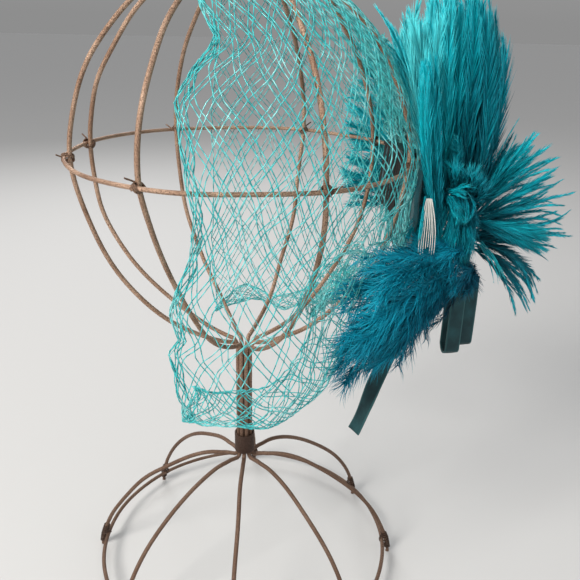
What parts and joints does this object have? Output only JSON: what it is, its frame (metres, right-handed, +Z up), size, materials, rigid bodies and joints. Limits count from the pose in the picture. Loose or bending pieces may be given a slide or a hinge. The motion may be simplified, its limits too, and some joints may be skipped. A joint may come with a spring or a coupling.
{
  "type": "feather fascinator on a wire hat stand",
  "caption": "Feather fascinator with a diamond net veil, velvet ribbons and a felt base, worn by an open wire hat stand with a domed foot.",
  "frame": {"origin": "centre of the whole part's box, on the floor under the stand's feet", "axes": "+Z up along the stand's post, +X towards the feathers, -Y towards the viewer's side, where the lower spray of feathers lies"},
  "size_m": [0.2908, 0.201, 0.3744],
  "materials": {
    "stand_wire": "rusted bronze-brown wire",
    "tie_wire": "rusted thin wire",
    "collar": "dark rusted sheet sleeve",
    "felt": "matt felt",
    "comb_steel": "plain steel",
    "feathers": "dyed feathers, soft sheen",
    "quills": "pale and dark stripped shafts",
    "ribbon": "velvet",
    "net": "fine stiff thread net"
  },
  "bodies": {
    "root": {"head_rib_1": "stand_wire", "leg_1": "stand_wire", "head_tie_1": "tie_wire", "foot_tie_1": "tie_wire", "head_rib_2": "stand_wire", "leg_2": "stand_wire", "head_tie_2": "tie_wire", "foot_tie_2": "tie_wire", "head_rib_3": "stand_wire", "leg_3": "stand_wire", "head_tie_3": "tie_wire", "foot_tie_3": "tie_wire", "head_rib_4": "stand_wire", "leg_4": "stand_wire", "head_tie_4": "tie_wire", "foot_tie_4": "tie_wire", "head_rib_5": "stand_wire", "leg_5": "stand_wire", "head_tie_5": "tie_wire", "foot_tie_5": "tie_wire", "head_rib_6": "stand_wire", "leg_6": "stand_wire", "head_tie_6": "tie_wire", "foot_tie_6": "tie_wire", "head_rib_7": "stand_wire", "leg_7": "stand_wire", "head_tie_7": "tie_wire", "foot_tie_7": "tie_wire", "head_rib_8": "stand_wire", "leg_8": "stand_wire", "head_tie_8": "tie_wire", "foot_tie_8": "tie_wire", "equator_ring": "stand_wire", "base_ring": "stand_wire", "crown_knot": "tie_wire", "collar": "collar", "base_plate": "felt", "comb": "comb_steel", "upright_plume": "feathers", "side_spray": "feathers", "centre_tuft": "feathers", "lower_spray": "feathers", "quill_bunch": "quills", "ribbon_loop_1": "ribbon", "ribbon_loop_2": "ribbon", "ribbon_tail": "ribbon", "veil": "net", "upper_gather": "net", "lower_gather": "net"}
  },
  "joints": []
}
